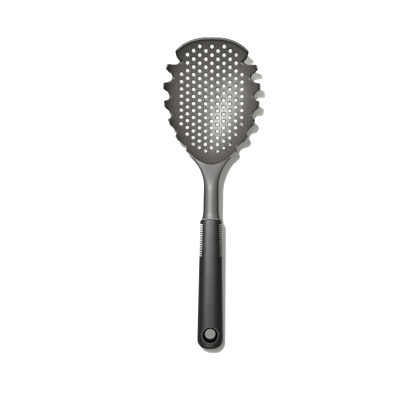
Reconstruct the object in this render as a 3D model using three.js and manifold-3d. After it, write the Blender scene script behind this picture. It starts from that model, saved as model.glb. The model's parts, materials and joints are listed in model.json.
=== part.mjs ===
// Pasta scoop: a perforated nylon bowl with teeth down both sides, on a shank with a soft black grip.
// Millimetres. The tool is built lying along Y, with the butt of the grip at Y = 0, the front lip at
// the far end and the underside of the bowl at Z = 0. At the end it is tilted to lie on a table, where
// it rests on the bowl and on the butt.
import * as THREE from 'three';
import { mergeVertices } from 'three/addons/utils/BufferGeometryUtils.js';
import Module from 'manifold-3d';

// Whole tool. Cutting shapes and buried ends run on past the face they meet by the overrun.
const toolLength = 347;
const seamGap = 0.3;
const overrun = 2;

// Bowl. The rim is widest in a gap between two teeth, so the teeth span a little less, 109.
const rimWidth = 109.6;
const bowlLength = 142.5;
const bowlHeight = 27;
const bowlWall = 2;
const lipBand = 2.9;
const widestBehindLip = 62.7;
const deepestBehindLip = 80.7;
const lipSquareness = 2.45;
const neckSquareness = 1.75;
const dishShare = 0.5;
const sideSteepness = 14;
const lipSteepness = 5;
const neckSteepness = 8;

// Drain holes, closer together towards the neck
const holeDiameter = 4.1;
const holeSides = 8;
const holeColumnStep = 6.9;
const holePitch = 8.6;
const holePitchShrink = 0.075;
const firstHoleBehindLip = 9.5;
const holesPerColumn = [15, 15, 15, 14, 12, 8];
const firstHoleStep = [0, 0.5, 0, 0.5, 1, 3.5];

// Gaps between the teeth, from the lip to the neck. Each is placed by its flank nearer the handle, which
// leans back from the rim to the round floor by a share of the floor's radius.
const gapBehindLip = [30.3, 51.2, 71.4, 92, 110.5, 127.6];
const gapMouth = [14.2, 15, 13.3, 13.1, 11.6, 12];
const gapDepth = [13.8, 14.9, 14, 12, 8.7, 7.5];
const gapFloorRadius = [2.5, 5, 4.6, 4.5, 4, 4.2];
const gapLeanShare = 0.4;
const gapInnerReach = 22;
const toothTipRadius = 2.2;

// Neck, shank and tang
const shankWidth = 16.4;
const shankThickness = 12.6;
const shankTaper = 0.6;
const shankRise = 35;
const waistAheadOfGrip = 37.5;
const shoulderWidth = 58.6;
const shoulderIntoBowl = 15.5;
const neckFallLength = 46;
const neckStep = 0.4;
const neckDrop = 9.5;
const neckFlare = 2;
const neckTopFlatness = 5;
const shankRoundness = 2.1;
const bolsterLength = 12;
const bolsterFlare = 1.7;
const tangLength = 64;
const tangWidth = 10;
const tangThickness = 6;
const tangTaper = 0.8;
const tangSquareness = 6;

// Grip
const gripLength = 142.7;
const gripFrontWidth = 23.9;
const gripFrontThickness = 18;
const gripButtWidth = 29;
const gripButtThickness = 21;
const gripSquareness = 2.5;
const buttRounding = 11.7;
const buttEdgeRounding = 5;
const frontEdgeRounding = 1.2;

// Side fins
const finSlotCount = 15;
const finPitch = 2.45;
const finSlotWidth = 1.2;
const finSlotDepth = 3;
const firstFinBehindFront = 5.6;

// Core and hang ring
const coreWidth = 16;
const coreThickness = 12.4;
const coreSquareness = 3;
const coreEyeWall = 1.4;
const ringFromButt = 16.2;
const ringDiameter = 19.4;
const ringBore = 11.5;
const ringThroat = 3;
const ringFace = 1.1;
const ringHeight = 20.8;

const wasm = await Module();
wasm.setup();

// Lengths along the tool that several pieces share
const bowlCentre = toolLength - widestBehindLip;
const deepest = toolLength - deepestBehindLip;
const neckEdge = toolLength - bowlLength;
const shoulder = neckEdge + shoulderIntoBowl;
const waist = gripLength + waistAheadOfGrip;
const ringSocket = ringDiameter / 2 + seamGap;

function solidOf(geometry) {
  const bare = geometry.clone();
  bare.deleteAttribute('normal');
  bare.deleteAttribute('uv');
  const merged = mergeVertices(bare, 1e-4);
  const vertProperties = new Float32Array(merged.attributes.position.array);
  const triVerts = new Uint32Array(merged.index.array);
  return new wasm.Manifold(new wasm.Mesh({ numProp: 3, vertProperties, triVerts }));
}

function geometryOf(solid) {
  const mesh = solid.getMesh();
  const geometry = new THREE.BufferGeometry();
  geometry.setAttribute('position', new THREE.Float32BufferAttribute(mesh.vertProperties, 3));
  geometry.setIndex(Array.from(mesh.triVerts));
  geometry.computeVertexNormals();
  return geometry;
}

// A closed skin over rings of points. Each ring runs counter-clockwise seen from the last ring's end.
function loft(rings, startPoint, endPoint) {
  const count = rings[0].length;
  const positions = [...rings.flat(), startPoint, endPoint].flatMap((point) => point.toArray());
  const start = rings.length * count;
  const end = start + 1;
  const last = (rings.length - 1) * count;
  const index = [];
  for (let j = 0; j < count; j += 1) {
    const next = (j + 1) % count;
    index.push(start, next, j);
    index.push(end, last + j, last + next);
    for (let i = 0; i + 1 < rings.length; i += 1) {
      const low = i * count;
      const high = low + count;
      index.push(low + j, low + next, high + next);
      index.push(low + j, high + next, high + j);
    }
  }
  const geometry = new THREE.BufferGeometry();
  geometry.setAttribute('position', new THREE.Float32BufferAttribute(positions, 3));
  geometry.setIndex(index);
  return geometry;
}

const signedPower = (value, power) => Math.sign(value) * Math.abs(value) ** power;

// A superellipse section square to Y, from its half-width, its half-thickness and its middle height
const sectionPoints = 20;
const gripPoints = 24;

function section(y, halfWidth, halfThickness, middle, squareness, points = sectionPoints) {
  return Array.from({ length: points }, (_, k) => {
    const angle = (2 * Math.PI * k) / points;
    const x = halfWidth * signedPower(Math.sin(angle), 2 / squareness);
    const z = middle + halfThickness * signedPower(Math.cos(angle), 2 / squareness);
    return new THREE.Vector3(x, y, z);
  });
}

function sectionLoft(sections) {
  const centre = (ring) => ring.reduce((sum, point) => sum.add(point), new THREE.Vector3())
    .divideScalar(ring.length);
  return loft(sections, centre(sections[0]), centre(sections.at(-1)));
}

const smooth = (value) => THREE.MathUtils.smoothstep(value, 0, 1);

// Bowl skins. In plan each ring is a pear-like superellipse, squarer towards the lip, and the rings move
// from the deepest point to the widest. The profile is a shallow dish that turns up into steep side walls,
// and less steeply at the ends.
const bowlAngles = 40;
const bowlRings = [0.3, 0.55, 0.74, 0.86, 0.93, 1];
const outerSkin = {
  halfWidth: rimWidth / 2,
  lipReach: widestBehindLip,
  neckReach: bowlLength - widestBehindLip + bowlWall,
  floor: 0,
};
const innerSkin = {
  halfWidth: rimWidth / 2 - bowlWall,
  lipReach: widestBehindLip - lipBand,
  neckReach: bowlLength - widestBehindLip,
  floor: bowlWall,
};

function bowlRing(radius, skin) {
  const centre = THREE.MathUtils.lerp(deepest, bowlCentre, radius);
  return Array.from({ length: bowlAngles }, (_, k) => {
    const angle = (2 * Math.PI * k) / bowlAngles;
    const across = Math.cos(angle);
    const along = Math.sin(angle);
    const towardsLip = along > 0;
    const squareness = towardsLip ? lipSquareness : neckSquareness;
    const reach = towardsLip ? skin.lipReach : skin.neckReach;
    const endSteepness = towardsLip ? lipSteepness : neckSteepness;
    const steepness = THREE.MathUtils.lerp(endSteepness, sideSteepness, across * across);
    const rise = dishShare * radius ** 2 + (1 - dishShare) * radius ** steepness;
    return new THREE.Vector3(
      skin.halfWidth * radius * signedPower(across, 2 / squareness),
      centre + reach * radius * signedPower(along, 2 / squareness),
      skin.floor + (bowlHeight - skin.floor) * rise,
    );
  });
}

function bowlSkin(skin, extraRings, top) {
  const rings = bowlRings.map((radius) => bowlRing(radius, skin));
  const bottom = new THREE.Vector3(0, deepest, skin.floor);
  const above = extraRings.map((height) => rings.at(-1).map((point) => point.clone().setZ(height)));
  return solidOf(loft([...rings, ...above], bottom, new THREE.Vector3(0, bowlCentre, top)));
}

const bowlOutside = () => bowlSkin(outerSkin, [], bowlHeight);

// The hollow runs on straight up from the rim, so that it also trims the neck at the bowl's edge.
const aboveNeck = bowlHeight + shankRise;
const bowlInside = () => bowlSkin(innerSkin, [aboveNeck], aboveNeck);

// Drain holes stand in columns along the bowl, every other column half a pitch behind.
function drainHoles() {
  const pin = new THREE.CylinderGeometry(holeDiameter / 2, holeDiameter / 2, 2 * bowlHeight, holeSides);
  pin.rotateX(Math.PI / 2);
  const pinSolid = solidOf(pin);
  const holes = [];
  for (let column = 1 - holesPerColumn.length; column < holesPerColumn.length; column += 1) {
    const side = Math.abs(column);
    for (let row = 0; row < holesPerColumn[side]; row += 1) {
      const step = firstHoleStep[side] + row;
      const behindLip = firstHoleBehindLip + holePitch * step - (holePitchShrink / 2) * step ** 2;
      holes.push(pinSolid.translate([column * holeColumnStep, toolLength - behindLip, 0]));
    }
  }
  return wasm.Manifold.union(holes);
}

// One gap between two teeth, seen from the side: the flank nearer the handle is almost upright, the
// other leans back towards the lip from the round floor, and both round over at the tips.
function gapOutline(mouth, depth, floorRadius) {
  const lean = gapLeanShare * floorRadius;
  const floorCentre = new THREE.Vector2(lean + floorRadius, bowlHeight - depth + floorRadius);
  const farTip = new THREE.Vector2(mouth, bowlHeight);
  const toTip = farTip.clone().sub(floorCentre);
  const tangent = toTip.angle() - Math.acos(floorRadius / toTip.length());
  const upFlank = new THREE.Vector2(-Math.sin(tangent), Math.cos(tangent));
  const farFlank = farTip.clone().addScaledVector(upFlank, -toothTipRadius);
  const outline = new THREE.Shape();
  outline.moveTo(-toothTipRadius, bowlHeight);
  outline.quadraticCurveTo(0, bowlHeight, 0, bowlHeight - toothTipRadius);
  outline.lineTo(lean, floorCentre.y);
  outline.absarc(floorCentre.x, floorCentre.y, floorRadius, Math.PI, 2 * Math.PI + tangent);
  outline.lineTo(farFlank.x, farFlank.y);
  outline.quadraticCurveTo(mouth, bowlHeight, mouth + toothTipRadius, bowlHeight);
  outline.lineTo(mouth + toothTipRadius, bowlHeight + overrun);
  outline.lineTo(-toothTipRadius, bowlHeight + overrun);
  return outline;
}

function toothGaps() {
  const curveSegments = 3;
  const cuts = [];
  gapBehindLip.forEach((behindLip, gap) => {
    const outline = gapOutline(gapMouth[gap], gapDepth[gap], gapFloorRadius[gap]);
    const bar = new THREE.ExtrudeGeometry(outline, {
      depth: rimWidth / 2, bevelEnabled: false, curveSegments,
    });
    // Turned so that the outline's first axis runs along the tool and the bar runs across it
    bar.applyMatrix4(new THREE.Matrix4().makeBasis(
      new THREE.Vector3(0, 1, 0),
      new THREE.Vector3(0, 0, 1),
      new THREE.Vector3(1, 0, 0),
    ));
    const right = solidOf(bar).translate([gapInnerReach, toolLength - behindLip, 0]);
    cuts.push(right, right.mirror([1, 0, 0]));
  });
  return wasm.Manifold.union(cuts);
}

// Neck and shank in one loft, from the bolster at the grip to the shoulders in the bowl's wall
function neckSection(y) {
  const toNeck = Math.max(0, (y - waist) / (shoulder - waist));
  const toGrip = Math.max(0, (waist - y) / (waist - gripLength));
  const flare = bolsterFlare * Math.max(0, 1 - (y - gripLength) / bolsterLength) ** 3;
  const spread = (shoulderWidth - shankWidth) / 2;
  const growth = shankTaper * toGrip + flare;
  const halfWidth = shankWidth / 2 + spread * toNeck ** neckFlare + growth;
  const fall = smooth(1 - (shoulder - y) / neckFallLength);
  const shankHalf = shankThickness / 2 + growth;
  const top = THREE.MathUtils.lerp(shankRise + shankHalf, bowlHeight + neckStep, fall);
  const bottom = THREE.MathUtils.lerp(shankRise - shankHalf, bowlHeight - neckDrop, fall);
  const squareness = THREE.MathUtils.lerp(shankRoundness, neckTopFlatness, fall);
  return section(y, halfWidth, (top - bottom) / 2, (top + bottom) / 2, squareness);
}

function neckAndShank() {
  const bolsterSteps = 5;
  const neckSteps = 14;
  const back = gripLength + seamGap;
  const bolsterEnd = gripLength + bolsterLength;
  const stations = [];
  for (let k = 0; k < bolsterSteps; k += 1) {
    stations.push(THREE.MathUtils.lerp(back, bolsterEnd, k / bolsterSteps));
  }
  for (let k = 0; k <= neckSteps; k += 1) {
    stations.push(THREE.MathUtils.lerp(bolsterEnd, shoulder, k / neckSteps));
  }
  return solidOf(sectionLoft(stations.map(neckSection)));
}

// Tang, buried in the core. Grown by a clearance, it is also the core's socket.
function tangSolid(clearance) {
  const halfWidth = tangWidth / 2;
  const halfThickness = tangThickness / 2;
  const tip = gripLength - tangLength - clearance;
  const bar = [[tip, tangTaper], [gripLength + overrun, 1]].map(([y, scale]) => section(
    y,
    halfWidth * scale + clearance,
    halfThickness * scale + clearance,
    shankRise,
    tangSquareness,
  ));
  return solidOf(sectionLoft(bar));
}

function scoopHead() {
  return bowlOutside()
    .subtract(toothGaps())
    .add(neckAndShank())
    .subtract(bowlInside())
    .subtract(drainHoles())
    .add(tangSolid(0));
}

// A round post square to the grip, on the axis of the hang hole
const ringSides = 40;

function upright(radius, height) {
  const post = new THREE.CylinderGeometry(radius, radius, height, ringSides);
  post.rotateX(Math.PI / 2);
  return solidOf(post).translate([0, ringFromButt, shankRise]);
}

// Core: a stiff bar with a round eye at the butt. Grown by a clearance, it is also the sleeve's hollow.
function coreBody(clearance, front) {
  const halfWidth = coreWidth / 2 + clearance;
  const halfThickness = coreThickness / 2 + clearance;
  const bar = solidOf(sectionLoft([
    section(ringFromButt, halfWidth, halfThickness, shankRise, coreSquareness),
    section(front, halfWidth, halfThickness, shankRise, coreSquareness),
  ]));
  const eye = upright(ringSocket + coreEyeWall + clearance, 2 * halfThickness);
  return bar.add(eye);
}

function handleCore() {
  return coreBody(0, gripLength)
    .subtract(upright(ringSocket, coreThickness + 2 * overrun))
    .subtract(tangSolid(seamGap));
}

// Grip: sections along a straight taper, with the butt rounded over in plan and along its edge
function roundOver(distance, length, power) {
  const left = Math.max(0, 1 - distance / length);
  return (1 - left ** power) ** (1 / power);
}

function gripSection(y) {
  const toFront = y / gripLength;
  const width = THREE.MathUtils.lerp(gripButtWidth, gripFrontWidth, toFront);
  const thickness = THREE.MathUtils.lerp(gripButtThickness, gripFrontThickness, toFront);
  const fromFront = gripLength - y;
  const edge = frontEdgeRounding * (1 - roundOver(fromFront, frontEdgeRounding, 2));
  const halfWidth = (width / 2 - edge) * roundOver(y, buttRounding, gripSquareness);
  const halfThickness = (thickness / 2 - edge) * roundOver(y, buttEdgeRounding, gripSquareness);
  return section(y, halfWidth, halfThickness, shankRise, gripSquareness, gripPoints);
}

function gripOutside() {
  const buttStations = [0.004, 0.03, 0.1, 0.22, 0.42, 0.7, 1].map((share) => share * buttRounding);
  const frontStations = [1, 0.4, 0.1, 0].map((share) => gripLength - share * frontEdgeRounding);
  const stations = [...buttStations, gripLength / 2, ...frontStations];
  return solidOf(sectionLoft(stations.map(gripSection)));
}

function finSlotCuts() {
  const slotHeight = gripButtThickness + 2 * overrun;
  const slot = solidOf(new THREE.BoxGeometry(gripButtWidth, finSlotWidth, slotHeight));
  const cuts = [];
  for (let k = 0; k < finSlotCount; k += 1) {
    const y = gripLength - firstFinBehindFront - k * finPitch;
    const width = THREE.MathUtils.lerp(gripButtWidth, gripFrontWidth, y / gripLength);
    const x = width / 2 - finSlotDepth + gripButtWidth / 2;
    cuts.push(slot.translate([x, y, shankRise]), slot.translate([-x, y, shankRise]));
  }
  return wasm.Manifold.union(cuts);
}

function gripSleeve() {
  return gripOutside()
    .subtract(coreBody(seamGap, gripLength + overrun))
    .subtract(upright(ringSocket, gripButtThickness + 2 * overrun))
    .subtract(finSlotCuts());
}

// Hang ring: a double-countersunk eyelet, with a narrow flat face at each end
function hangRing() {
  const outer = ringDiameter / 2;
  const mouth = outer - ringFace;
  const profile = [
    [ringBore / 2, -ringThroat / 2],
    [mouth, -ringHeight / 2],
    [outer, -ringHeight / 2],
    [outer, ringHeight / 2],
    [mouth, ringHeight / 2],
    [ringBore / 2, ringThroat / 2],
    [ringBore / 2, -ringThroat / 2],
  ].map(([r, z]) => new THREE.Vector2(r, z));
  const ring = new THREE.LatheGeometry(profile, ringSides);
  ring.rotateX(Math.PI / 2);
  return solidOf(ring).translate([0, ringFromButt, shankRise]);
}

const nylon = new THREE.MeshStandardMaterial({ color: '#6e6c69', roughness: 0.5, metalness: 0 });
const corePlastic = new THREE.MeshStandardMaterial({ color: '#3a3a3a', roughness: 0.5, metalness: 0 });
const softBlack = new THREE.MeshStandardMaterial({ color: '#262625', roughness: 0.65, metalness: 0 });
const glossBlack = new THREE.MeshStandardMaterial({ color: '#0c0c0c', roughness: 0.15, metalness: 0 });

function piece(name, solid, material) {
  const mesh = new THREE.Mesh(geometryOf(solid), material);
  mesh.name = name;
  return mesh;
}

const head = piece('scoop_head', scoopHead(), nylon);
const core = piece('handle_core', handleCore(), corePlastic);
const sleeve = piece('grip_sleeve', gripSleeve(), softBlack);
const ring = piece('hang_ring', hangRing(), glossBlack);

// Rest tilt: the turn about X at which the bowl and the butt of the grip are equally low
function lowest(mesh, tilt) {
  const { array } = mesh.geometry.attributes.position;
  let low = Infinity;
  for (let k = 0; k < array.length; k += 3) {
    low = Math.min(low, array[k + 1] * Math.sin(tilt) + array[k + 2] * Math.cos(tilt));
  }
  return low;
}

function restTilt() {
  const halvings = 40;
  let low = 0;
  let high = Math.PI / 6;
  for (let k = 0; k < halvings; k += 1) {
    const tilt = (low + high) / 2;
    if (lowest(sleeve, tilt) > lowest(head, tilt)) low = tilt;
    else high = tilt;
  }
  return low;
}

const tool = new THREE.Group();
tool.add(head, core, sleeve, ring);
tool.rotation.x = restTilt();

// Origin under the middle of the tool's box, on the table
const scoop = new THREE.Group();
scoop.add(tool);
scoop.updateMatrixWorld(true);
const box = new THREE.Box3().setFromObject(scoop, true);
const middle = box.getCenter(new THREE.Vector3());
tool.position.set(-middle.x, -middle.y, -box.min.z);

export default scoop;
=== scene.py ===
# Pasta scoop on a white table, seen from above with the bowl away from the viewer.
# The scoop is put together below in the order a maker would: head, core, grip, hang ring, then the table.
import json
from math import atan2, cos, pi, radians, sin

import bpy
import numpy as np
from mathutils import Matrix, Vector


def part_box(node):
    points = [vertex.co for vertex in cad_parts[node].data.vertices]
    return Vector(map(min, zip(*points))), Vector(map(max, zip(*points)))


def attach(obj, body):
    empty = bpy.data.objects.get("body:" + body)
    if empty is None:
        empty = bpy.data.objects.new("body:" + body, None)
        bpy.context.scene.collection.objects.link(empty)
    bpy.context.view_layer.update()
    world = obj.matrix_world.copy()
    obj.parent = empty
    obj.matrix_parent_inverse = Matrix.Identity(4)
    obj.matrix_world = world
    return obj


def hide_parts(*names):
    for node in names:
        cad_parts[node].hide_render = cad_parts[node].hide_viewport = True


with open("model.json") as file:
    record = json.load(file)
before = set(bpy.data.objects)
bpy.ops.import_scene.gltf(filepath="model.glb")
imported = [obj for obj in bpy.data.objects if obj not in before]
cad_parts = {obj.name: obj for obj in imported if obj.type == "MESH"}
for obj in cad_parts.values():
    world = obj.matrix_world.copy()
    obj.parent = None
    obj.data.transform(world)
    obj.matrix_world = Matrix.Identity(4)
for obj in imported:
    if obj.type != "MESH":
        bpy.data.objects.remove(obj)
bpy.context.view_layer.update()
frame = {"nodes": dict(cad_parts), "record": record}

# SCOOP HEAD
# One nylon moulding: a perforated bowl with teeth down both sides, a neck, a round shank and a tang that
# is buried in the handle. The mould is polished inside the bowl, spark-eroded at neck and shank, and plain
# on the walls that the moulding slides along as it is drawn out.

# All sizes are in millimetres in the tool's own frame: Y runs from the butt of the grip to the lip, Z up
# out of the bowl. The tool lies tilted on the table, and the hang ring's upper face says how.
MM = 0.001
SHANK_RISE = 35.0
RING_FROM_BUTT, RING_DIAMETER, RING_HEIGHT, RING_FACE = 16.2, 19.4, 20.8, 1.1
ring_face = next(m for m in frame["record"]["mounts"] if m["name"] == "hang_face_front")
tilt = atan2(-ring_face["axis"][1], ring_face["axis"][2])
lie = Matrix.Rotation(tilt, 4, "X") @ Matrix.Scale(MM, 4)
face_point = Vector((0, RING_FROM_BUTT + RING_DIAMETER / 2 - RING_FACE / 2, SHANK_RISE + RING_HEIGHT / 2))
lie.translation = Vector(ring_face["pos_m"]) - lie @ face_point

# The bowl is an oval in plan, squarer at the lip than at the neck. Half of its depth is a shallow dish, the
# rest a wall that turns up late and steeply at the sides and more gently at both ends.
TOOL_LENGTH, GRIP_LENGTH, SEAM = 347.0, 142.7, 0.3
RIM_WIDTH, BOWL_LENGTH, BOWL_HEIGHT, BOWL_WALL, LIP_BAND = 109.6, 142.5, 27.0, 2.0, 2.9
WIDEST_BEHIND_LIP, DEEPEST_BEHIND_LIP = 62.7, 80.7
WIDEST, DEEPEST = TOOL_LENGTH - WIDEST_BEHIND_LIP, TOOL_LENGTH - DEEPEST_BEHIND_LIP
LIP_SQUARENESS, NECK_SQUARENESS = 2.45, 1.75
DISH_SHARE, SIDE_STEEPNESS, LIP_STEEPNESS, NECK_STEEPNESS = 0.5, 14.0, 5.0, 8.0
NECK_REACH = BOWL_LENGTH - WIDEST_BEHIND_LIP
OUTER = dict(half=RIM_WIDTH / 2, lip=WIDEST_BEHIND_LIP, neck=NECK_REACH + BOWL_WALL, floor=0.0)
INNER = dict(
    half=RIM_WIDTH / 2 - BOWL_WALL, lip=WIDEST_BEHIND_LIP - LIP_BAND, neck=NECK_REACH, floor=BOWL_WALL,
)


def signed_power(value, power):
    return np.sign(value) * np.abs(value) ** power


def rise_of(radius, across_squared, towards_lip):
    """Share of the bowl's height at a share of its radius."""
    end = np.where(towards_lip, LIP_STEEPNESS, NECK_STEEPNESS)
    steepness = end + (SIDE_STEEPNESS - end) * across_squared
    return DISH_SHARE * radius**2 + (1 - DISH_SHARE) * radius**steepness


def bowl_ring(radius, skin, count=160):
    """One ring of the bowl's skin, from the deepest point (0) to the rim (1)."""
    angle = 2 * pi * np.arange(count) / count
    across, along = np.cos(angle), np.sin(angle)
    lip = along > 0
    power = 2 / np.where(lip, LIP_SQUARENESS, NECK_SQUARENESS)
    reach = np.where(lip, skin["lip"], skin["neck"])
    centre = DEEPEST + (WIDEST - DEEPEST) * radius
    x = skin["half"] * radius * signed_power(across, power)
    y = centre + reach * radius * signed_power(along, power)
    z = skin["floor"] + (BOWL_HEIGHT - skin["floor"]) * rise_of(radius, across**2, lip)
    return np.stack([x, y, z], 1)


def placed(name, data):
    """An object in the scene that holds a mesh, a lamp or a camera."""
    piece = bpy.data.objects.new(name, data)
    bpy.context.scene.collection.objects.link(piece)
    return piece


def closed_skin(name, rings, start, end):
    """An object with a closed skin over rings of points and a point at each end."""
    count = len(rings[0])
    first, last = len(rings) * count, (len(rings) - 1) * count
    faces = []
    for j in range(count):
        k = (j + 1) % count
        faces += [(first, k, j), (first + 1, last + j, last + k)]
        faces += [(i + j, i + k, i + count + k, i + count + j) for i in range(0, last, count)]
    mesh = bpy.data.meshes.new(name)
    mesh.from_pydata(np.vstack([*rings, [start], [end]]).tolist(), [], faces)
    return placed(name, mesh)


# Rings of the skin, as shares of the radius: wide apart on the dish, close together up the wall
SKIN_RINGS = np.concatenate([np.linspace(0.06, 0.7, 14), np.linspace(0.74, 1, 22)])


def bowl_rings(skin):
    return [bowl_ring(radius, skin) for radius in SKIN_RINGS]


# The hollow is the inside of the bowl, carried straight up past the neck
outer_rings, inner_rings = bowl_rings(OUTER), bowl_rings(INNER)
hollow_top = BOWL_HEIGHT + SHANK_RISE
inner_rings.append(inner_rings[-1].copy())
inner_rings[-1][:, 2] = hollow_top
head = closed_skin("bowl_outside", outer_rings, (0, DEEPEST, OUTER["floor"]), (0, WIDEST, BOWL_HEIGHT))
hollow = closed_skin("bowl_inside", inner_rings, (0, DEEPEST, INNER["floor"]), (0, WIDEST, hollow_top))

# Gaps between the teeth, from the lip to the neck: the flank nearer the handle is almost upright, the other
# leans back towards the lip from a round floor. Each row is the place behind the lip, mouth, depth and
# floor radius.
GAPS = (
    (30.3, 14.2, 13.8, 2.5),
    (51.2, 15.0, 14.9, 5.0),
    (71.4, 13.3, 14.0, 4.6),
    (92.0, 13.1, 12.0, 4.5),
    (110.5, 11.6, 8.7, 4.0),
    (127.6, 12.0, 7.5, 4.2),
)
GAP_LEAN_SHARE, TIP_RADIUS = 0.4, 2.2
# A gap's cutter reaches from inside the bowl's wall to well outside it, and above the rim
GAP_INNER, GAP_OUTER, GAP_ABOVE = 22.0, 70.0, 4.0


def gap_outline(mouth, depth, radius, steps=10):
    centre = np.array([(GAP_LEAN_SHARE + 1) * radius, BOWL_HEIGHT - depth + radius])
    tip = np.array([mouth, BOWL_HEIGHT])
    reach = tip - centre
    tangent = atan2(reach[1], reach[0]) - np.arccos(radius / np.hypot(*reach))
    flank = tip - TIP_RADIUS * np.array([-sin(tangent), cos(tangent)])
    share = np.linspace(0, 1, steps)[:, None]

    def rounded(a, corner, b):
        a, corner, b = np.array(a), np.array(corner), np.array(b)
        return (1 - share) ** 2 * a + 2 * share * (1 - share) * corner + share**2 * b

    turn = np.linspace(pi, 2 * pi + tangent, 2 * steps)
    floor = centre + radius * np.stack([np.cos(turn), np.sin(turn)], 1)
    near = rounded((-TIP_RADIUS, BOWL_HEIGHT), (0, BOWL_HEIGHT), (0, BOWL_HEIGHT - TIP_RADIUS))
    far = rounded(flank, tip, (mouth + TIP_RADIUS, BOWL_HEIGHT))
    above = [(mouth + TIP_RADIUS, BOWL_HEIGHT + GAP_ABOVE), (-TIP_RADIUS, BOWL_HEIGHT + GAP_ABOVE)]
    return np.vstack([near, floor, far, above])


def bar(outline, y, x0, x1):
    """Points and faces of a bar across the tool with a given outline."""
    count = len(outline)
    points = [(x, y + u, v) for x in (x0, x1) for u, v in outline]
    faces = [tuple(range(count))[::-1], tuple(range(count, 2 * count))]
    faces += [(j, (j + 1) % count, count + (j + 1) % count, count + j) for j in range(count)]
    if x1 < x0:
        faces = [face[::-1] for face in faces]
    return points, faces


points, faces = [], []
for behind_lip, *shape in GAPS:
    for side in (1, -1):
        more, sides = bar(gap_outline(*shape), TOOL_LENGTH - behind_lip, side * GAP_INNER, side * GAP_OUTER)
        faces += [tuple(k + len(points) for k in face) for face in sides]
        points += more
gap_mesh = bpy.data.meshes.new("tooth_gaps")
gap_mesh.from_pydata(points, [], faces)
gaps = placed("tooth_gaps", gap_mesh)

# Neck and shank, from the bolster at the grip over the waist to the shoulders in the bowl's wall
SHANK_WIDTH, SHANK_THICKNESS, SHANK_TAPER, SHANK_ROUNDNESS = 16.4, 12.6, 0.6, 2.1
WAIST_FROM_GRIP, SHOULDER_IN_BOWL, NECK_SECTIONS = 37.5, 15.5, 70
WAIST, SHOULDER = GRIP_LENGTH + WAIST_FROM_GRIP, TOOL_LENGTH - BOWL_LENGTH + SHOULDER_IN_BOWL
SHOULDER_WIDTH, NECK_FALL, NECK_STEP, NECK_DROP, NECK_FLATNESS = 58.6, 46.0, 0.4, 9.5, 5.0
BOLSTER_LENGTH, BOLSTER_FLARE = 12.0, 1.7


def section(y, half_width, half_thickness, middle, squareness, count=64):
    """Points round a section of the tool: an ellipse at squareness 2, squarer above it."""
    angle = 2 * pi * np.arange(count) / count
    x = half_width * signed_power(np.sin(angle), 2 / squareness)
    z = middle + half_thickness * signed_power(np.cos(angle), 2 / squareness)
    return np.stack([x, np.full(count, y), z], 1)


def blend(a, b, share):
    return a + (b - a) * share


def neck_section(y):
    to_neck = max(0, (y - WAIST) / (SHOULDER - WAIST))
    to_grip = max(0, (WAIST - y) / (WAIST - GRIP_LENGTH))
    growth = SHANK_TAPER * to_grip + BOLSTER_FLARE * max(0, 1 - (y - GRIP_LENGTH) / BOLSTER_LENGTH) ** 3
    half = SHANK_WIDTH / 2 + (SHOULDER_WIDTH - SHANK_WIDTH) / 2 * to_neck**2 + growth
    fall = min(1, max(0, 1 - (SHOULDER - y) / NECK_FALL))
    fall = fall * fall * (3 - 2 * fall)
    thick = SHANK_THICKNESS / 2 + growth
    top = blend(SHANK_RISE + thick, BOWL_HEIGHT + NECK_STEP, fall)
    bottom = blend(SHANK_RISE - thick, BOWL_HEIGHT - NECK_DROP, fall)
    squareness = blend(SHANK_ROUNDNESS, NECK_FLATNESS, fall)
    return section(y, half, (top - bottom) / 2, (top + bottom) / 2, squareness)


def lofted(name, sections):
    return closed_skin(name, sections, sections[0].mean(0), sections[-1].mean(0))


neck = lofted("neck", [neck_section(y) for y in np.linspace(GRIP_LENGTH + SEAM, SHOULDER, NECK_SECTIONS)])

# The tang is a flat bar that starts inside the shank and tapers towards the butt
TANG_LENGTH, TANG_OVERLAP, TANG_TAPER = 64.0, 2.0, 0.8
TANG_HALF_WIDTH, TANG_HALF_THICKNESS, TANG_SQUARENESS = 5.0, 3.0, 6.0
tang = lofted("tang", [
    section(y, TANG_HALF_WIDTH * size, TANG_HALF_THICKNESS * size, SHANK_RISE, TANG_SQUARENESS)
    for y, size in ((GRIP_LENGTH - TANG_LENGTH, TANG_TAPER), (GRIP_LENGTH + TANG_OVERLAP, 1))
])


def joined(body, operation, other):
    """Adds other to body, or takes it away, as a live modifier."""
    step = body.modifiers.new(other.name, "BOOLEAN")
    step.operation, step.object, step.solver = operation, other, "MANIFOLD"


joined(head, "DIFFERENCE", gaps)
joined(head, "UNION", neck)
joined(head, "DIFFERENCE", hollow)

# Nylon 6.6 in one warm dark grey, with three finishes. Neck and shank come from a spark-eroded face: they
# are finely pitted and spread the lamp in a broad pale sheen. Inside the bowl the mould is polished and
# gives one closer highlight. The rim and the outside were drawn along the mould's walls and are darker and
# duller. Steep flanks are duller too, and are painted darker as shade, and a fine dark line of painted
# shade follows the rim and each hole. The collar at the grip is painted pale as a highlight.


def linear(hex_colour):
    """An sRGB hex colour as linear red, green, blue and alpha."""
    channels = [int(hex_colour[i : i + 2], 16) / 255 for i in (1, 3, 5)]
    return (*[c / 12.92 if c <= 0.04045 else ((c + 0.055) / 1.055) ** 2.4 for c in channels], 1.0)


def add(tree, kind, inputs=None, **settings):
    """Adds a node, sets its settings, and fills its inputs with values or links."""
    made = tree.nodes.new(kind)
    for key, value in settings.items():
        setattr(made, key, value)
    for key, value in (inputs or {}).items():
        if isinstance(value, bpy.types.NodeSocket):
            tree.links.new(value, made.inputs[key])
        else:
            made.inputs[key].default_value = value
    return made


def new_material(name):
    """A material with nothing in it, and its tree and output node."""
    material = bpy.data.materials.new(name)
    material.use_nodes = True
    material.node_tree.nodes.clear()
    return material, material.node_tree, add(material.node_tree, "ShaderNodeOutputMaterial")
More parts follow.
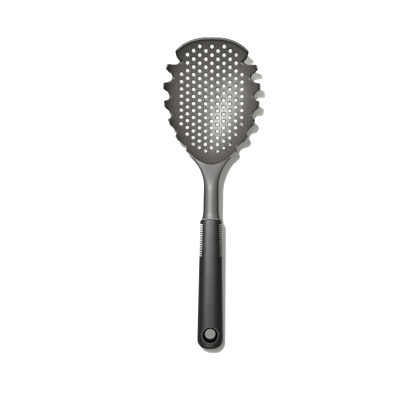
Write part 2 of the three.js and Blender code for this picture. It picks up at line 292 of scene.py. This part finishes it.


# The scale of finishes, painted shade and painted highlight that every point of the head has its place on,
# and the tone along that scale
COLLAR_HIGHLIGHT, ERODED, DRAWN, STEEP_SHADE, SHADE_LINE, POLISHED = 0.0, 0.3, 0.5, 0.6, 0.7, 1.0
TONES = (
    # The collar's pale tone is a painted highlight
    (COLLAR_HIGHLIGHT, "#7c7a77"),
    (0.2, "#5d5b58"),
    (ERODED, "#5d5b58"),
    (DRAWN, "#323130"),
    # Painted shade: the dark stops that the steep flanks, the rim's edges and the holes' edges fall on
    (0.58, "#2a2927"),
    (0.86, "#2a2927"),
    (0.95, "#5b5853"),
)


def nylon_finish(name, roughness, gloss):
    """Nylon whose tone follows the finish, painted shade and painted highlight at each point, with the
    gloss of one of the three finishes.
    """
    material, tree, out = new_material(name)
    place = add(tree, "ShaderNodeTexCoord").outputs["Object"]
    finish_and_painted_light = add(tree, "ShaderNodeAttribute", attribute_name="finish_and_painted_light").outputs["Fac"]
    tone = add(tree, "ShaderNodeValToRGB", {"Fac": finish_and_painted_light})
    stops = tone.color_ramp.elements
    stops.remove(stops[1])
    stops[0].position, stops[0].color = TONES[0][0], linear(TONES[0][1])
    for at, colour in TONES[1:]:
        stops.new(at).color = linear(colour)
    # The eroded pits are about 0.1 mm, drawn at 1.2 mm so that they show
    speckle = add(tree, "ShaderNodeTexNoise", {
        "Vector": place, "Scale": 1 / (1.2 * MM), "Detail": 3.0, "Roughness": 0.7,
    }).outputs["Fac"]
    mottle = add(tree, "ShaderNodeMapRange", {
        "Value": speckle, "From Min": 0.3, "From Max": 0.7, "To Min": 0.78, "To Max": 1.16,
    })
    shade = add(tree, "ShaderNodeVectorMath", {
        0: tone.outputs["Color"], "Scale": mottle.outputs["Result"],
    }, operation="SCALE")
    worn = add(tree, "ShaderNodeMapRange", {
        "Value": speckle,
        "From Min": 0.3, "From Max": 0.7, "To Min": roughness + 0.03, "To Max": roughness - 0.03,
    })
    grain = add(tree, "ShaderNodeBump", {"Height": speckle, "Strength": 0.25, "Distance": 0.05 * MM})
    shader = add(tree, "ShaderNodeBsdfPrincipled", {
        "Base Color": shade.outputs["Vector"],
        "Roughness": worn.outputs["Result"],
        "Specular IOR Level": gloss,
        "IOR": 1.53,
        "Normal": grain.outputs["Normal"],
    })
    tree.links.new(shader.outputs["BSDF"], out.inputs["Surface"])
    return material


eroded_nylon = nylon_finish("nylon_spark_eroded", 0.5, 0.95)
polished_nylon = nylon_finish("nylon_polished", 0.38, 0.5)
drawn_nylon = nylon_finish("nylon_drawn_from_mould", 0.46, 0.45)

# Drain holes: straight pins in the mould, in columns whose holes stand closer together towards the neck.
# From the middle column outwards: how many holes each column has, and the step that it starts at.
HOLE_DIAMETER, HOLE_COLUMN, HOLE_PITCH, HOLE_PITCH_SHRINK, FIRST_HOLE = 4.1, 6.9, 8.6, 0.075, 9.5
HOLES, FIRST_STEP = (15, 15, 15, 14, 12, 8), (0, 0.5, 0, 0.5, 1, 3.5)
HOLE_SIDES = 32
EASED = 0.25  # easing the edges further on widens each hole by this
centres = []
for column in range(1 - len(HOLES), len(HOLES)):
    for row in range(HOLES[abs(column)]):
        step = FIRST_STEP[abs(column)] + row
        behind_lip = FIRST_HOLE + HOLE_PITCH * step - HOLE_PITCH_SHRINK / 2 * step**2
        centres.append((column * HOLE_COLUMN, TOOL_LENGTH - behind_lip, 0))
centre_mesh = bpy.data.meshes.new("hole_centres")
centre_mesh.from_pydata(centres, [], [])
hole_centres = placed("hole_centres", centre_mesh)


def new_tree(name, sockets):
    """A geometry tree with named inputs after its geometry, its input node, and the inputs' identifiers."""
    made = bpy.data.node_groups.new(name, "GeometryNodeTree")
    made.interface.new_socket("Geometry", in_out="INPUT", socket_type="NodeSocketGeometry")
    made.interface.new_socket("Geometry", in_out="OUTPUT", socket_type="NodeSocketGeometry")
    names = {}
    for title, kind in sockets:
        names[title] = made.interface.new_socket(title, in_out="INPUT", socket_type=kind).identifier
    return made, made.nodes.new("NodeGroupInput"), names


def set_tree(piece, tree_made, names, values):
    """Puts a geometry tree on a piece and sets its inputs."""
    step = piece.modifiers.new(tree_made.name, "NODES")
    step.node_group = tree_made
    for key, value in values.items():
        step[names[key]] = value


holes, given, names = new_tree("drain_holes", [
    ("Hole Centres", "NodeSocketObject"),
    ("Hole Diameter", "NodeSocketFloat"),
    ("Pin Length", "NodeSocketFloat"),
    ("Nylon", "NodeSocketMaterial"),
])
half = add(holes, "ShaderNodeMath", {0: given.outputs["Hole Diameter"], 1: 0.5}, operation="MULTIPLY")
pin = add(holes, "GeometryNodeMeshCylinder", {
    "Vertices": HOLE_SIDES, "Radius": half.outputs[0], "Depth": given.outputs["Pin Length"],
})
spots = add(holes, "GeometryNodeObjectInfo", {"Object": given.outputs["Hole Centres"]})
pins = add(holes, "GeometryNodeInstanceOnPoints", {
    "Points": spots.outputs["Geometry"], "Instance": pin.outputs["Mesh"],
})
real_pins = add(holes, "GeometryNodeRealizeInstances", {"Geometry": pins.outputs["Instances"]})
pierced = add(holes, "GeometryNodeMeshBoolean", {
    0: given.outputs["Geometry"], 1: real_pins.outputs["Geometry"],
}, operation="DIFFERENCE", solver="MANIFOLD")
whole = add(holes, "GeometryNodeRealizeInstances", {"Geometry": pierced.outputs["Mesh"]})
coated = add(holes, "GeometryNodeSetMaterial", {
    "Geometry": whole.outputs["Geometry"], "Material": given.outputs["Nylon"],
})
add(holes, "NodeGroupOutput", {"Geometry": coated.outputs["Geometry"]})
set_tree(head, holes, names, {
    "Hole Centres": hole_centres,
    "Hole Diameter": HOLE_DIAMETER - EASED,
    "Pin Length": 2 * BOWL_HEIGHT,
    "Nylon": eroded_nylon,
})
joined(head, "UNION", tang)

# The mould's edges are slightly round: a fine even mesh, eased a little, rounds them all
FINE, KEPT_TRIANGLES = 0.5, 190000
even = head.modifiers.new("even_mesh", "REMESH")
even.mode, even.voxel_size, even.use_smooth_shade = "VOXEL", FINE, True
ease = head.modifiers.new("round_edges", "SMOOTH")
ease.factor, ease.iterations = 0.5, 4


def plain_mesh(piece, name):
    """The piece's mesh with its modifiers applied, still in tool millimetres."""
    graph = bpy.context.evaluated_depsgraph_get()
    mesh = bpy.data.meshes.new_from_object(piece.evaluated_get(graph))
    mesh.name = name
    return mesh


dense = plain_mesh(head, "before_thinning")
thin = head.modifiers.new("fewer_triangles", "DECIMATE")
thin.ratio = min(1, KEPT_TRIANGLES / (2 * len(dense.polygons)))
head_mesh = plain_mesh(head, "scoop_head_moulding")


def skin_height(x, y, skin):
    """Height of a bowl skin over points of the plan, and how far out they lie, 1 at the rim, by halving."""
    low, high = np.full(len(x), 1e-3), np.full(len(x), 2.0)
    for _ in range(40):
        radius = (low + high) / 2
        along = y - (DEEPEST + (WIDEST - DEEPEST) * radius)
        lip = along > 0
        reach = np.where(lip, skin["lip"], skin["neck"])
        power = np.where(lip, LIP_SQUARENESS, NECK_SQUARENESS)
        across = (np.abs(x) / (skin["half"] * radius)) ** power
        outside = across + (np.abs(along) / (reach * radius)) ** power > 1
        low, high = np.where(outside, radius, low), np.where(outside, high, radius)
    rise = rise_of(np.minimum(radius, 1), np.clip(across, 0, 1), lip)
    return skin["floor"] + (BOWL_HEIGHT - skin["floor"]) * rise, radius


def fade(value, start, width):
    """0 up to the start and 1 from its width on; with a negative width, 1 below and 0 above."""
    return np.clip((value - start) / width, 0, 1)


# Where the finishes and the painted light and shade lie. In millimetres: the collar painted pale as a
# highlight, the fade from the neck to the rim, the painted shade round a hole, and the middle of the lip
# and the start of the neck, where the rim has no painted shade.
COLLAR, COLLAR_FADE, SHOULDER_FADE, HOLE_SHADE = 2.2, 0.8, 15.0, 0.7
PLAIN_LIP, PLAIN_LIP_FADE, PLAIN_NECK = 8.0, 20.0, 8.0
# As shares of the bowl's radius and of its wall: the painted shade at the rim's outer edge, and the
# polished skin
RIM_SHADE, RIM_SHADE_FADE, POLISH_EDGE, POLISH_DEPTH, POLISH_FADE = 0.98, 0.006, 0.02, 0.55, 0.3
# A flank counts as steep, and is painted darker as shade, where the upright part of its normal falls below
# this
FLANK, FLANK_FADE = 0.82, 0.25
LEAST_WALL = 0.1  # stands in for the wall's thickness outside the bowl, where there is none
corners_mm = np.empty(len(head_mesh.vertices) * 3)
head_mesh.vertices.foreach_get("co", corners_mm)
x, y, z = corners_mm.reshape(-1, 3).T
normals = np.empty(len(x) * 3, np.float32)
head_mesh.vertex_normals.foreach_get("vector", normals)
inner_height, inner_radius = skin_height(x, y, INNER)
outer_height, outer_radius = skin_height(x, y, OUTER)
through_wall = (z - outer_height) / np.maximum(inner_height - outer_height, LEAST_WALL)
polished = fade(inner_radius, 1, -POLISH_EDGE) * fade(through_wall, POLISH_DEPTH, POLISH_FADE)
# The collar, painted pale as a highlight
collar_highlight = fade(y, GRIP_LENGTH + COLLAR, -COLLAR_FADE)
# Steep flanks, painted darker as shade
steep_shade = fade(normals[2::3], FLANK, -FLANK_FADE)
drawn = fade(y, SHOULDER, SHOULDER_FADE)
from_hole = np.min([np.hypot(x - u, y - v) for u, v, _ in centres], axis=0) - HOLE_DIAMETER / 2
# Painted shade round each hole and along the rim's outer edge
hole_shade = fade(from_hole, HOLE_SHADE, -HOLE_SHADE)
rim_shade = fade(outer_radius, RIM_SHADE, RIM_SHADE_FADE) * fade(np.abs(x), PLAIN_LIP, PLAIN_LIP_FADE)
# Each point's place on the scale: its finish, with the painted shade and the painted highlight laid over it
unpolished = ERODED + np.maximum((STEEP_SHADE - ERODED) * steep_shade, (DRAWN - ERODED) * drawn)
finish_and_painted_light_of = blend(unpolished, POLISHED - (POLISHED - SHADE_LINE) * hole_shade, polished)
finish_and_painted_light_of -= (ERODED - COLLAR_HIGHLIGHT) * collar_highlight
finish_and_painted_light_of = blend(finish_and_painted_light_of, SHADE_LINE, rim_shade * (finish_and_painted_light_of < SHADE_LINE) * (y > SHOULDER + PLAIN_NECK))
finish_and_painted_light = head_mesh.attributes.new("finish_and_painted_light", "FLOAT", "POINT")
finish_and_painted_light.data.foreach_set("value", finish_and_painted_light_of.astype(np.float32))


def finished(name, mesh, materials, node):
    """Lays a finished mesh where the tool lies, within its CAD node's box, hangs it from the root body and
    hides that node.
    """
    mesh.transform(lie)
    spots = np.empty(len(mesh.vertices) * 3)
    mesh.vertices.foreach_get("co", spots)
    mesh.vertices.foreach_set("co", np.clip(spots.reshape(-1, 3), *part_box(node)).ravel())
    mesh.materials.clear()
    for material in materials:
        mesh.materials.append(material)
    mesh.shade_smooth()
    piece = placed(name, mesh)
    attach(piece, "root")
    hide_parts(node)


def cleared(*used):
    """Removes the shapes that a finished mesh was made from."""
    for piece in used:
        bpy.data.objects.remove(piece)


nylons = (eroded_nylon, polished_nylon, drawn_nylon)
finished("scoop_head_moulding", head_mesh, nylons, "scoop_head")
# Each face takes the nylon that the finish of its corners calls for; outside the polish, faces in painted
# shade take the duller nylon
MOSTLY, DULL_FROM = 0.5, 0.45
for face in head_mesh.polygons:
    corners = list(face.vertices)
    if polished[corners].mean() > MOSTLY:
        face.material_index = nylons.index(polished_nylon)
    elif finish_and_painted_light_of[corners].mean() > DULL_FROM:
        face.material_index = nylons.index(drawn_nylon)
cleared(head, hollow, gaps, neck, tang, hole_centres)

# HANDLE CORE
# A stiff polypropylene bar inside the grip, with a socket for the tang and an eye at the butt. The grip
# is moulded over it, so it isn't seen.
CORE_WIDTH, CORE_THICKNESS, CORE_SQUARENESS, CORE_EYE_WALL = 16.0, 12.4, 3.0, 1.4
# Polypropylene as it leaves the mould: dark grey and half dull, with faint flow marks about 6 mm wide
core_plastic, tree, out = new_material("polypropylene_as_moulded")
place = add(tree, "ShaderNodeTexCoord").outputs["Object"]
flow = add(tree, "ShaderNodeTexNoise", {"Vector": place, "Scale": 1 / (6 * MM), "Detail": 2.0})
shade = add(tree, "ShaderNodeValToRGB", {"Fac": flow.outputs["Fac"]})
shade.color_ramp.elements[0].color = linear("#353535")
shade.color_ramp.elements[1].color = linear("#3f3f3f")
shader = add(tree, "ShaderNodeBsdfPrincipled", {
    "Base Color": shade.outputs["Color"],
    "Roughness": 0.5,
    "IOR": 1.49,
})
tree.links.new(shader.outputs["BSDF"], out.inputs["Surface"])
frame["nodes"]["handle_core"].data.materials.clear()
frame["nodes"]["handle_core"].data.materials.append(core_plastic)

# GRIP SLEEVE
# Soft black thermoplastic rubber, moulded over the core: a flattened oval that widens to a round butt.
# Thin flexible fins stand on both sides near the front, under thumb and finger.
GRIP_FRONT, GRIP_BUTT, GRIP_SQUARENESS, GRIP_SIDES = (23.9, 18.0), (29.0, 21.0), 2.5, 96
BUTT_ROUNDING, BUTT_EDGE, FRONT_EDGE, SHOULDER_TAPER, SHOULDER_IN = 11.7, 3.2, 1.2, 4.4, 1.1


def round_over(distance, length, power):
    """How full the grip is at a distance from its end, up to 1 where the rounding stops."""
    left = max(0, 1 - distance / length)
    return (1 - left**power) ** (1 / power)


def grip_section(y):
    share = y / GRIP_LENGTH
    edge = FRONT_EDGE * (1 - round_over(GRIP_LENGTH - y, FRONT_EDGE, 2))
    pinch = SHOULDER_IN * (1 - round_over(GRIP_LENGTH - y, SHOULDER_TAPER, 2))
    half_width = blend(GRIP_BUTT[0], GRIP_FRONT[0], share) / 2 - pinch
    half_width *= round_over(y, BUTT_ROUNDING, GRIP_SQUARENESS)
    half_thickness = blend(GRIP_BUTT[1], GRIP_FRONT[1], share) / 2 - edge
    half_thickness *= round_over(y, BUTT_EDGE, GRIP_SQUARENESS)
    return section(y, half_width, half_thickness, SHANK_RISE, GRIP_SQUARENESS, GRIP_SIDES)


# Sections stand close together at the butt and at the front shoulders, where the outline turns
STRAIGHT_FROM = 14.0
butt = BUTT_ROUNDING * np.linspace(0.065, 1, 24) ** 2
middle = np.linspace(STRAIGHT_FROM, GRIP_LENGTH - SHOULDER_TAPER - 1, 58)
front = GRIP_LENGTH - SHOULDER_TAPER * np.linspace(1, 0, 14) ** 2
grip = lofted("grip", [grip_section(y) for y in [*butt, *middle, *front]])


def upright(name, radius, height, sides=96):
    """A round bar through the grip where the hang ring sits."""
    angle = 2 * pi * np.arange(sides) / sides
    ring = np.stack([-radius * np.cos(angle), RING_FROM_BUTT - radius * np.sin(angle)], 1)
    levels = (SHANK_RISE - height / 2, SHANK_RISE + height / 2)
    rings = [np.column_stack([ring, np.full(sides, level)]) for level in levels]
    return closed_skin(name, rings, *[(0, RING_FROM_BUTT, level) for level in levels])


# Room in the sleeve for the core, its eye and the ring; a cutter runs on past the surface that it leaves by
CUT_PAST = 2.0
through_grip = GRIP_BUTT[1] + 2 * CUT_PAST
ring_room_radius = RING_DIAMETER / 2 + SEAM
core_room = lofted("core_room", [
    section(y, CORE_WIDTH / 2 + SEAM, CORE_THICKNESS / 2 + SEAM, SHANK_RISE, CORE_SQUARENESS)
    for y in (RING_FROM_BUTT, GRIP_LENGTH + CUT_PAST)
])
eye_room = upright("eye_room", ring_room_radius + CORE_EYE_WALL + SEAM, CORE_THICKNESS + 2 * SEAM)
ring_room = upright("ring_room", ring_room_radius, through_grip)
for room in (core_room, eye_room, ring_room):
    joined(grip, "DIFFERENCE", room)

# Thermoplastic rubber, matte from a blasted mould: near black, with a broad soft sheen and a fine grain
rubber, tree, out = new_material("thermoplastic_rubber_matte_black")
place = add(tree, "ShaderNodeTexCoord").outputs["Object"]
# The blasted grain is about 0.15 mm, drawn at 0.7 mm so that it shows
blasted = add(tree, "ShaderNodeTexNoise", {"Vector": place, "Scale": 1 / (0.7 * MM), "Detail": 3.0})
dust = add(tree, "ShaderNodeTexNoise", {"Vector": place, "Scale": 1 / (9 * MM), "Detail": 3.0})
shade = add(tree, "ShaderNodeValToRGB", {"Fac": dust.outputs["Fac"]})
shade.color_ramp.elements[0].position, shade.color_ramp.elements[1].position = 0.3, 0.7
shade.color_ramp.elements[0].color = linear("#121212")
shade.color_ramp.elements[1].color = linear("#181817")
sheen = add(tree, "ShaderNodeMapRange", {"Value": dust.outputs["Fac"], "To Min": 0.39, "To Max": 0.46})
grain = add(tree, "ShaderNodeBump", {
    "Height": blasted.outputs["Fac"], "Strength": 0.2, "Distance": 0.04 * MM,
})
shader = add(tree, "ShaderNodeBsdfPrincipled", {
    "Base Color": shade.outputs["Color"],
    "Roughness": sheen.outputs["Result"],
    "Specular IOR Level": 0.9,
    "IOR": 1.5,
    "Sheen Weight": 0.05,
    "Sheen Roughness": 0.35,
    "Normal": grain.outputs["Normal"],
})
tree.links.new(shader.outputs["BSDF"], out.inputs["Surface"])

# Slots between the fins, cut by a row of flat blades on each side of the grip
FIN_SLOTS, FIN_PITCH, FIN_SLOT_WIDTH, FIN_SLOT_DEPTH, FIRST_FIN = 15, 2.45, 1.2, 3.0, 5.6
WELD = 0.01  # points that the cuts leave closer than this become one
fins, given, names = new_tree("side_fins", [
    ("Slots", "NodeSocketInt"),
    ("First Slot", "NodeSocketVector"),
    ("Step", "NodeSocketVector"),
    ("Blade", "NodeSocketVector"),
    ("Rubber", "NodeSocketMaterial"),
])
blade = add(fins, "GeometryNodeMeshCube", {"Size": given.outputs["Blade"]})
both = add(fins, "GeometryNodeJoinGeometry")
for side in (1, -1):
    start, step = (
        add(fins, "ShaderNodeVectorMath", {0: given.outputs[key], 1: (side, 1, 1)}, operation="MULTIPLY")
        for key in ("First Slot", "Step")
    )
    line = add(fins, "GeometryNodeMeshLine", {
        "Count": given.outputs["Slots"], "Start Location": start.outputs[0], "Offset": step.outputs[0],
    })
    row = add(fins, "GeometryNodeInstanceOnPoints", {
        "Points": line.outputs["Mesh"], "Instance": blade.outputs["Mesh"],
    })
    fins.links.new(row.outputs["Instances"], both.inputs["Geometry"])
real_blades = add(fins, "GeometryNodeRealizeInstances", {"Geometry": both.outputs["Geometry"]})
slotted = add(fins, "GeometryNodeMeshBoolean", {
    0: given.outputs["Geometry"], 1: real_blades.outputs["Geometry"],
}, operation="DIFFERENCE", solver="MANIFOLD")
merged = add(fins, "GeometryNodeMergeByDistance", {"Geometry": slotted.outputs["Mesh"], "Distance": WELD})
whole = add(fins, "GeometryNodeRealizeInstances", {"Geometry": merged.outputs["Geometry"]})
coated = add(fins, "GeometryNodeSetMaterial", {
    "Geometry": whole.outputs["Geometry"], "Material": given.outputs["Rubber"],
})
add(fins, "NodeGroupOutput", {"Geometry": coated.outputs["Geometry"]})
first_y = GRIP_LENGTH - FIRST_FIN
first_half = blend(GRIP_BUTT[0], GRIP_FRONT[0], first_y / GRIP_LENGTH) / 2
widening = (GRIP_BUTT[0] - GRIP_FRONT[0]) / 2 / GRIP_LENGTH * FIN_PITCH
set_tree(grip, fins, names, {
    "Slots": FIN_SLOTS,
    "First Slot": (first_half - FIN_SLOT_DEPTH + GRIP_BUTT[0] / 2, first_y, SHANK_RISE),
    "Step": (widening, -FIN_PITCH, 0),
    "Blade": (GRIP_BUTT[0], FIN_SLOT_WIDTH, through_grip),
    "Rubber": rubber,
})
grip_mesh = plain_mesh(grip, "grip_sleeve_rubber")
finished("grip_sleeve_rubber", grip_mesh, (rubber,), "grip_sleeve")
grip_mesh.set_sharp_from_angle(angle=radians(35))
cleared(grip, core_room, eye_room, ring_room)

# HANG RING
# A hard glossy black eyelet of ABS, pressed into the butt. It lines the hang hole, which narrows from both
# faces to a throat in the middle.
RING_BORE, RING_THROAT, RING_EDGE, RING_SIDES = 11.5, 3.0, 0.25, 96
RING_FLAT_INSET = 0.1  # the flat of each face stops this far short of both its edges
# ABS from a polished mould: deep glossy black with faint scuffs. The flat faces are rubbed to a satin
# finish, and a lighter grey painted on them is a highlight, so they show as a thin pale ring.
ring_gloss, tree, out = new_material("abs_polished_black")
place = add(tree, "ShaderNodeTexCoord").outputs["Object"]
scuff = add(tree, "ShaderNodeTexNoise", {"Vector": place, "Scale": 1 / (2.5 * MM), "Detail": 4.0})
worn = add(tree, "ShaderNodeMapRange", {"Value": scuff.outputs["Fac"], "To Min": 0.1, "To Max": 0.24})
satin_and_highlight = add(tree, "ShaderNodeAttribute", attribute_name="satin_and_highlight").outputs["Fac"]
rough = add(tree, "ShaderNodeMapRange", {"Value": satin_and_highlight, "To Min": worn.outputs["Result"], "To Max": 0.5})
# The faces' lighter grey is a painted highlight; their higher roughness is the real satin
shade = add(tree, "ShaderNodeValToRGB", {"Fac": satin_and_highlight})
shade.color_ramp.elements[0].color = linear("#0c0c0c")
shade.color_ramp.elements[1].color = linear("#3a3a39")
shader = add(tree, "ShaderNodeBsdfPrincipled", {
    "Base Color": shade.outputs["Color"],
    "Roughness": rough.outputs["Result"],
    "Specular IOR Level": 0.9,
    "IOR": 1.54,
})
tree.links.new(shader.outputs["BSDF"], out.inputs["Surface"])

# The upper half of its outline, from the throat up the cone and over the face to the outside, then mirrored
outer, throat, top = RING_DIAMETER / 2, RING_BORE / 2, RING_HEIGHT / 2
mouth = outer - RING_FACE
upper = [(throat, t) for t in np.linspace(0, RING_THROAT / 2, 4)]
upper += [(blend(throat, mouth, t), blend(RING_THROAT / 2, top, t)) for t in np.linspace(0.1, 0.96, 10)]
upper += [(mouth + RING_FLAT_INSET, top), (outer - RING_EDGE - RING_FLAT_INSET, top)]
for a in np.linspace(0, pi / 2, 6):
    upper.append((outer - RING_EDGE + RING_EDGE * sin(a), top - RING_EDGE + RING_EDGE * cos(a)))
profile = upper + [(r, -z) for r, z in upper[:0:-1]]
points, faces = [], []
for k in range(RING_SIDES):
    a = 2 * pi * k / RING_SIDES
    points += [(r * cos(a), RING_FROM_BUTT + r * sin(a), SHANK_RISE + z) for r, z in profile]
count = len(profile)
for k in range(RING_SIDES):
    near, far = k * count, (k + 1) % RING_SIDES * count
    faces += [(near + (j + 1) % count, near + j, far + j, far + (j + 1) % count) for j in range(count)]
ring_mesh = bpy.data.meshes.new("hang_ring_eyelet")
ring_mesh.from_pydata(points, [], faces)
on_face = [float(abs(abs(z) - top) < RING_EDGE and r > mouth) for r, z in profile]
ring_mesh.attributes.new("satin_and_highlight", "FLOAT", "POINT").data.foreach_set("value", on_face * RING_SIDES)
finished("hang_ring_eyelet", ring_mesh, (ring_gloss,), "hang_ring")
ring_mesh.set_sharp_from_angle(angle=radians(40))

# TABLE, LIGHT AND CAMERA
# A plain white table, a small lamp high at the upper left that throws the short crisp shadow, two soft
# panels, one beside the lamp and one beyond the lip, and a dim even room. The camera looks straight down
# on the rim of the bowl.

# Each lamp's name, shape, size in metres, watts and place, in the tool's frame; all face the head
LAMPS = (
    ("lamp_upper_left", "DISK", 0.08, 20.0, (-290, 580, 1400)),
    ("soft_panel_above", "SQUARE", 0.35, 5.0, (-380, 480, 1450)),
    ("soft_panel_behind", "SQUARE", 0.7, 4.5, (-250, 1250, 1000)),
)
LAMPS_FACE = (0, 230, 20)
for name, shape, size, watts, stands_at in LAMPS:
    light = bpy.data.lights.new(name, "AREA")
    light.shape, light.size, light.energy = shape, size, watts
    lamp = placed(name, light)
    lamp.location = lie @ Vector(stands_at)
    lamp.rotation_euler = (lamp.location - lie @ Vector(LAMPS_FACE)).to_track_quat("Z", "Y").to_euler()

# The camera stands 950 mm above the rim, over the middle of the picture, turned a touch with the tool
IMAGE, MM_PER_PIXEL, CAMERA_HEIGHT, CAMERA_TURN, CAMERA_OVER = 416, 1.117, 950.0, 0.39, (-3.3, 155.7)
camera_data = bpy.data.cameras.new("camera")
camera_data.sensor_width = 36.0
camera_data.lens = camera_data.sensor_width * CAMERA_HEIGHT / (IMAGE * MM_PER_PIXEL)
camera = placed("camera", camera_data)
stand = Matrix.Rotation(radians(CAMERA_TURN), 4, "Z")
stand.translation = (*CAMERA_OVER, BOWL_HEIGHT + CAMERA_HEIGHT)
camera.matrix_world = (lie @ stand).normalized()
bpy.context.scene.camera = camera
bpy.context.scene.view_settings.view_transform = "Standard"

# White paper that lights the tool only a little from below, and that the camera sees as pure white away
# from the tool. For the camera alone, an oval of painted light under the bowl wipes out the bowl's shadow
# there, so the drain holes show white, and a grey painted shadow lies under the hang hole. From below the
# table is clear, so that the underside can be seen.
GLOW, TABLE_REACH, SHADED_REACH = 0.24, 4.0, 0.7
paper, tree, out = new_material("white_paper_table")
place = add(tree, "ShaderNodeTexCoord").outputs["Object"]
eye = camera.matrix_world.translation


def table_oval(point_mm, half_axes, edge):
    """1 inside an oval of the table, in line with a point of the tool, fading out at its edge."""
    point = lie @ Vector(point_mm)
    centre = eye + (point - eye) * (eye.z / (eye.z - point.z))
    oval = add(tree, "ShaderNodeMapping", {
        "Vector": place, "Location": centre, "Scale": (*half_axes, 1),
    }, vector_type="TEXTURE")
    inside = add(tree, "ShaderNodeTexGradient", {"Vector": oval.outputs[0]}, gradient_type="SPHERICAL")
    faded = add(tree, "ShaderNodeMapRange", {"Value": inside.outputs["Fac"], "From Max": edge})
    return faded.outputs["Result"]


# The oval of painted light under the bowl, the ground round the tool that keeps its shadow, and the painted
# shadow under the hang hole
painted_light_oval = table_oval((-4, 287, 8), (48 * MM, 70 * MM), 0.14)
near = table_oval((0, TOOL_LENGTH / 2, 0), (SHADED_REACH, SHADED_REACH), 0.5)
painted_shadow_spot = table_oval((0, RING_FROM_BUTT, SHANK_RISE), (9 * MM, 9 * MM), 0.05)
seen = add(tree, "ShaderNodeLightPath").outputs["Is Camera Ray"]
tone = add(tree, "ShaderNodeMix", {0: seen, 6: linear("#7c7c7c"), 7: linear("#f3f3f2")}, data_type="RGBA")
sheet = add(tree, "ShaderNodeBsdfDiffuse", {"Color": tone.outputs[2]})
glow = add(tree, "ShaderNodeMath", {0: seen, 1: GLOW}, operation="MULTIPLY")
lift = add(tree, "ShaderNodeEmission", {"Color": linear("#fffef3"), "Strength": glow.outputs[0]})
plain = add(tree, "ShaderNodeAddShader", {0: sheet.outputs[0], 1: lift.outputs[0]})
far = add(tree, "ShaderNodeMath", {0: 1.0, 1: near}, operation="SUBTRACT")
white = add(tree, "ShaderNodeMath", {0: far.outputs[0], 1: painted_light_oval}, operation="MAXIMUM")
white_seen = add(tree, "ShaderNodeMath", {0: white.outputs[0], 1: seen}, operation="MULTIPLY")
lit = add(tree, "ShaderNodeEmission", {"Color": linear("#ffffff"), "Strength": 1.0})
bright = add(tree, "ShaderNodeMixShader", {
    0: white_seen.outputs[0], 1: plain.outputs[0], 2: lit.outputs[0],
})
# A flat grey, seen by the camera alone, painted as the shadow under the hang hole
grey = add(tree, "ShaderNodeEmission", {"Color": linear("#91928e"), "Strength": seen})
surface = add(tree, "ShaderNodeMixShader", {0: painted_shadow_spot, 1: bright.outputs[0], 2: grey.outputs[0]})
beneath = add(tree, "ShaderNodeNewGeometry").outputs["Backfacing"]
clear = add(tree, "ShaderNodeBsdfTransparent")
one_sided = add(tree, "ShaderNodeMixShader", {0: beneath, 1: surface.outputs[0], 2: clear.outputs[0]})
tree.links.new(one_sided.outputs[0], out.inputs["Surface"])
table_mesh = bpy.data.meshes.new("table")
table_corners = [(u * TABLE_REACH, v * TABLE_REACH, 0) for u, v in ((-1, -1), (1, -1), (1, 1), (-1, 1))]
table_mesh.from_pydata(table_corners, [], [(0, 1, 2, 3)])
table_mesh.materials.append(paper)
table = placed("table", table_mesh)

# The room gives a dim even light, and the camera sees it as white
ROOM = 0.05
world = bpy.data.worlds.new("dim_room")
bpy.context.scene.world = world
world.use_nodes = True
tree = world.node_tree
tree.nodes.clear()
seen = add(tree, "ShaderNodeLightPath").outputs["Is Camera Ray"]
dim = add(tree, "ShaderNodeBackground", {"Color": linear("#ffffff"), "Strength": ROOM})
white = add(tree, "ShaderNodeBackground", {"Color": linear("#ffffff"), "Strength": 1.0})
mixed = add(tree, "ShaderNodeMixShader", {0: seen, 1: dim.outputs[0], 2: white.outputs[0]})
add(tree, "ShaderNodeOutputWorld", {"Surface": mixed.outputs[0]})
